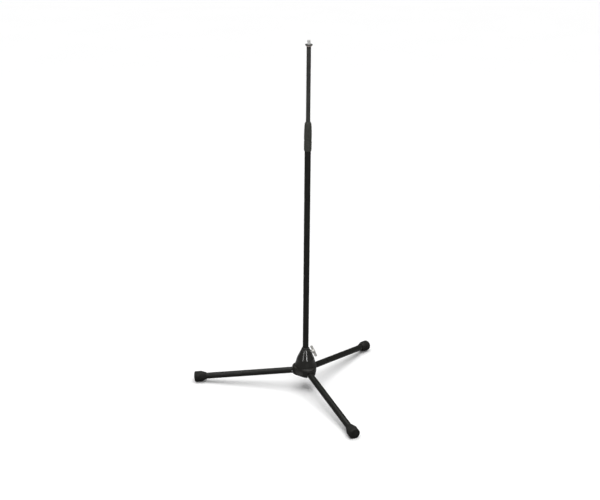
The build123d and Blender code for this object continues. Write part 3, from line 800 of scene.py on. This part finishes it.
def make_stud():
    """Plug and collar turned in one with the 3/8 inch thread above."""
    low, high, collar_r = upright("threaded_stud")
    seat = upright("lock_washer")[0]
    mount = next(m for m in frame["record"]["mounts"] if m["name"] == "top_stud")
    thread_r = mount["dims"]["r_mm"]
    plug_r = collar_r - UPPER_TUBE_WALL
    foot = seat - STUD_COLLAR_HEIGHT
    corners = [
        (0, low, 0), (plug_r, low, 0.4), (plug_r, foot, 0), (collar_r, foot, 0.1),
        (collar_r, seat, 0.3), (0, seat, 0),
    ]
    plug = turned_mesh("stud_plug", rounded(corners, closed=False), closed=False)
    thread = thread_mesh("stud_thread", FINISHES["zinc_steel"], seat - 0.3, high, thread_r,
                         STUD_THREAD_DEPTH, STUD_THREAD_PITCH)
    data = joined_mesh("stud", plug, thread)
    add_piece("top_stud", data, "upper_mast", FINISHES["zinc_steel"], ["threaded_stud"])


def make_ring_nut():
    """The round nut: straight knurl on the rim, a stepped face and a countersunk bore."""
    low, high, radius = upright("ring_nut")
    bore = upright("threaded_stud")[2] - 1.4
    corners = [
        (bore, low, 0.5), (radius - 1.8, low, 0.3), (radius - 1.0, low + 0.8, 0.3), (radius, low + 1.5, 0.3),
        (radius, high - 0.7, 0.3), (radius - 0.7, high, 0.3), (radius - 2.2, high, 0.2),
        (radius - 2.7, high - 0.35, 0.2), (bore + 0.9, high - 0.35, 0.2), (bore, high - 1.0, 0.2),
    ]
    blank = turned_mesh("ring_nut", subdivided(rounded(corners), 0.4), 6 * 60)
    knurled = grown_mesh(
        "ring_nut", RIBS, blank, Ribs=60.0, Valley_Depth=0.4 * MM, Band_Low=(low + 1.5) * MM,
        Band_High=(high - 0.4) * MM, Fade=0.5 * MM, Inner_Radius=(radius - 0.8) * MM,
        Crest_Share=0.25, Material=DARK_NICKEL,
    )
    add_piece("knurled_nut", knurled, "nut", DARK_NICKEL, ["ring_nut"])


def make_washer():
    low, high, radius = upright("lock_washer")
    bore = upright("ring_nut")[2] - RING_NUT_WALL
    corners = [(bore, low, 0.15), (radius, low, 0.3), (radius, high, 0.3), (bore, high, 0.15)]
    data = turned_mesh("lock_washer", rounded(corners))
    add_piece("fibre_washer", data, "washer", FINISHES["red_fibre"], ["lock_washer"])


# ---------------------------------------------------------------- base and clamp

def make_base_casting():
    data = merged_copy("base_casting", "base_casting")
    add_piece("hub_casting", data, "base", FINISHES["casting_black"], ["base_casting"])


def ear_mesh(span, width, thickness):
    """The wing's two ears as one rounded bar, thicker at its rims, along X and Z."""
    mesh = bmesh.new()
    half = span / 2 - width / 2
    steps = 20
    rim = []
    for side in (1, -1):
        for step in range(steps + 1):
            angle = side * math.pi / 2 - math.pi * step / steps
            rim.append((side * half + width / 2 * math.cos(angle), width / 2 * math.sin(angle)))
    layers = []
    for share, inset in ((-0.5, 0.7), (-0.42, 0.15), (0.0, 0.0), (0.42, 0.15), (0.5, 0.7)):
        scale_x = 1 - inset / (half + width / 2)
        scale_z = 1 - inset / (width / 2)
        layers.append([
            mesh.verts.new((x * scale_x * MM, share * thickness * MM, z * scale_z * MM)) for x, z in rim
        ])
    for low, high in zip(layers, layers[1:]):
        for index in range(len(rim)):
            after = (index + 1) % len(rim)
            mesh.faces.new((low[index], low[after], high[after], high[index]))
    mesh.faces.new(layers[0])
    mesh.faces.new(layers[-1])
    return finished_mesh("wing_ears", mesh)


def make_wing():
    """Cast wing: hub and ears melted together, then smoothed as a die casting is."""
    place = clamp_place()
    back = place.inverted()
    corners = [back @ v.co for v in frame["nodes"]["wing_head"].data.vertices]
    low = min(c.z for c in corners) / MM
    high = max(c.z for c in corners) / MM
    hub_r = max(abs(c.y) for c in corners) / MM
    span = 2 * max(abs(c.x) for c in corners) / MM
    middle = (low + high) / 2
    outline = [
        (0, low, 0), (hub_r - 0.9, low, 0.3), (hub_r - 0.1, low + 0.9, 0.4), (hub_r - 0.9, high - 1.2, 0.8),
        (hub_r - 2.2, high - 0.1, 0.5), (0, high - 0.1, 0),
    ]
    hub = turned_mesh("wing_hub", rounded(outline, closed=False), closed=False)
    ears = ear_mesh(span - 0.3, 8.7, 3.0)
    ears.transform(Matrix.Translation((0, 0, middle * MM)))
    data = joined_mesh("wing", hub, ears)
    holder = bpy.data.objects.new("wing", data)
    COLLECTION.objects.link(holder)
    remesh = holder.modifiers.new("melt", "REMESH")
    remesh.mode = "VOXEL"
    remesh.voxel_size = 0.32 * MM
    soften = holder.modifiers.new("soften", "SMOOTH")
    soften.factor = 0.5
    soften.iterations = 6
    bpy.context.view_layer.update()
    cast = bpy.data.meshes.new_from_object(holder.evaluated_get(bpy.context.evaluated_depsgraph_get()))
    bpy.data.objects.remove(holder)
    cast.shade_smooth()
    add_piece("wing_casting", cast, "wing_screw", FINISHES["nickel"], ["wing_head"], place)


def make_clamp_screw():
    place = clamp_place()
    back = place.inverted()
    corners = [back @ v.co for v in frame["nodes"]["clamp_screw"].data.vertices]
    low = min(c.z for c in corners) / MM
    high = max(c.z for c in corners) / MM
    radius = max(abs(c.y) for c in corners) / MM
    data = thread_mesh("clamp_thread", FINISHES["zinc_steel"], low, high, radius,
                       CLAMP_THREAD_DEPTH, CLAMP_THREAD_PITCH)
    add_piece("clamp_shank", data, "wing_screw", FINISHES["zinc_steel"],
              ["clamp_screw"], place)


# ---------------------------------------------------------------- legs

def make_leg(number):
    inner, outer, radius, cap_end, cap_r = leg_spans()
    place = leg_place(number)
    body = f"leg_{number}"
    tube = turned_mesh(body, tube_outline(radius, LEG_TUBE_WALL, inner, outer))
    add_piece(f"{body}_coated", tube, body, FINISHES["tube_black"],
              [f"leg_tube_{number}"], place)
    make_foot_cap(number, place, radius, cap_end, cap_r)
    rivet = merged_copy(f"knuckle_rivet_{number}", "knuckle_rivet")
    add_piece(f"rivet_{number}", rivet, body, FINISHES["pin_steel"],
              [f"knuckle_rivet_{number}"])
    knuckle = merged_copy(f"leg_knuckle_{number}", "leg_knuckle")
    add_piece(f"knuckle_{number}", knuckle, body, FINISHES["knuckle_metal"],
              [f"leg_knuckle_{number}"])
    pin = merged_copy(f"hinge_pin_{number}", "hinge_pin")
    add_piece(f"pin_{number}", pin, "base", FINISHES["pin_steel"], [f"hinge_pin_{number}"])


def make_foot_cap(number, place, tube_r, end, radius):
    """Rubber cap: rolled mouth, short cone, barrel, dished end, flat on the floor."""
    mouth = end - 37.0
    barrel = end - 22.0
    corners = [
        (tube_r + 0.02, mouth, 0.4), (tube_r + 2.5, mouth, 0.9), (tube_r + 2.6, mouth + 2.2, 0.8),
        (radius - 0.3, barrel, 3.0), (radius, barrel + 2.0, 1.5), (radius, end - 0.2, FOOT_CAP_ROUND),
        (radius - 3.2, end, 1.0), (radius - 4.4, end - 0.7, 0.6), (3.2, end - 0.9, 1.0), (0, end - 0.9, 0),
        (0, end - FOOT_CAP_END_WALL, 0), (tube_r + 0.02, end - FOOT_CAP_END_WALL, 0.3),
    ]
    data = turned_mesh("foot_cap", subdivided(rounded(corners), 1.2), 144)
    data.transform(place)
    flatten_on_floor(data)
    add_piece(f"foot_{number}", data, f"leg_{number}", FINISHES["foot_rubber"],
              [f"foot_cap_{number}"])


def flatten_on_floor(data):
    """Worn flat: what would reach below the floor is pressed up to it."""
    for vertex in data.vertices:
        vertex.co.z = max(vertex.co.z, 0.0)
    smooth_by_angle(data)


# ---------------------------------------------------------------- carried-over CAD nodes

def dress_frame_nodes():
    """Pieces inside the stand keep their CAD shape and take a finish."""
    slots = {part["node"]: part["material_slot"] for part in frame["record"]["subparts"]}
    for node, piece in frame["nodes"].items():
        piece.data.materials.clear()
        piece.data.materials.append(FINISHES[slots[node]])


# ---------------------------------------------------------------- studio

def stage_material():
    """Pale paper, faintly mottled. Only the camera sees it that pale: what it throws back is dimmer."""
    material, tree, surface = new_material("pale paper", Roughness=0.9, Specular_IOR_Level=0.1)
    paper = use(tree, GRAIN, Grain_Size=4.0, Swell_Size=600.0, Swell_Share=1.0)
    pale = tree.blend_colour(paper["Mottle"], (0.908, 0.908, 0.908, 1), (0.914, 0.914, 0.914, 1))
    seen = tree.add("ShaderNodeLightPath").outputs["Is Camera Ray"]
    tree.feed(surface["Base Color"], tree.blend_colour(seen, (0.30, 0.30, 0.30, 1), pale))
    return material


def make_floor():
    half = FLOOR_HALF
    corners = [(-half, -half, 0), (half, -half, 0), (half, half, 0), (-half, half, 0)]
    data = bpy.data.meshes.new("floor")
    data.from_pydata(corners, [], [(0, 1, 2, 3)])
    data.materials.append(stage_material())
    floor = bpy.data.objects.new("floor", data)
    COLLECTION.objects.link(floor)


def away_from(azimuth, elevation):
    """The direction of a compass angle (0 is in front, towards -Y) and an elevation, in degrees."""
    turn, tip = math.radians(azimuth), math.radians(elevation)
    return Vector((math.sin(turn) * math.cos(tip), -math.cos(turn) * math.cos(tip), math.sin(tip)))


def area_light(name, azimuth, elevation, distance, size, power, target):
    """A soft box that faces the target from a compass angle and an elevation."""
    light = bpy.data.lights.new(name, "AREA")
    light.shape = "RECTANGLE"
    light.size, light.size_y = size
    light.energy = power
    lamp = bpy.data.objects.new(name, light)
    back = away_from(azimuth, elevation)
    lamp.location = target + back * distance
    lamp.rotation_euler = (-back).to_track_quat("-Z", "Y").to_euler()
    COLLECTION.objects.link(lamp)


def sky_light(strength, spread):
    """One broad light from straight above, the same all over the floor."""
    light = bpy.data.lights.new("overhead", "SUN")
    light.energy = strength
    light.angle = math.radians(spread)
    lamp = bpy.data.objects.new("overhead", light)
    lamp.location = (0, 0, 3)
    COLLECTION.objects.link(lamp)


def make_lights():
    world = bpy.data.worlds.new("studio")
    world.use_nodes = True
    tree = Tree(world.node_tree)
    background = world.node_tree.nodes["Background"]
    seen = tree.add("ShaderNodeLightPath").outputs["Is Camera Ray"]
    direction = tree.add("ShaderNodeTexCoord").outputs["Generated"]
    backwards = tree.add("ShaderNodeSeparateXYZ", {0: direction}).outputs["Y"]
    glow = tree.ramp(backwards, -0.2, 0.6, 0.26, 0.04)
    tree.feed(background.inputs["Strength"], tree.math("MAXIMUM", seen, glow))
    background.inputs["Color"].default_value = (1, 1, 1, 1)
    bpy.context.scene.world = world
    base = Vector((0, 0, 0.1))
    sky_light(2.95, 76)
    area_light("left_strip", CAMERA_AZIMUTH - 34, 26, 3.2, (0.22, 1.1), 9, base)
    area_light("right_strip", CAMERA_AZIMUTH + 20, 26, 3.2, (0.26, 1.1), 20, base)


# The camera stands where it sees the three feet, the clutch and the stud in the same proportion
# as a viewer 3.3 m away, a little above the clutch, and leans very slightly to one side.
CAMERA_AZIMUTH = 5.81
CAMERA_PITCH = 20.29
CAMERA_ROLL = -0.622
CAMERA_DISTANCE = 3.33
CAMERA_TARGET = Vector((0, 0, 0.45))
CAMERA_LENS = 64.16
CAMERA_SHIFT = (-0.01097, 0.01258)


def make_camera():
    data = bpy.data.cameras.new("camera")
    data.lens = CAMERA_LENS
    data.sensor_width = 36.0
    data.shift_x, data.shift_y = CAMERA_SHIFT
    camera = bpy.data.objects.new("camera", data)
    back = away_from(CAMERA_AZIMUTH, CAMERA_PITCH)
    look = (-back).to_track_quat("-Z", "Y").to_matrix().to_4x4()
    roll = Matrix.Rotation(math.radians(-CAMERA_ROLL), 4, "Z")
    camera.matrix_world = Matrix.Translation(CAMERA_TARGET + back * CAMERA_DISTANCE) @ look @ roll
    COLLECTION.objects.link(camera)
    bpy.context.scene.camera = camera


make_camera()
dress_frame_nodes()
make_mast_tubes()
make_clutch_collar()
make_grip_sleeve()
make_clutch_ring()
make_neck_bush()
make_stud()
make_ring_nut()
make_washer()
make_base_casting()
make_wing()
make_clamp_screw()
for leg in (1, 2, 3):
    make_leg(leg)
make_floor()
make_lights()
bpy.context.scene.view_settings.view_transform = "Standard"
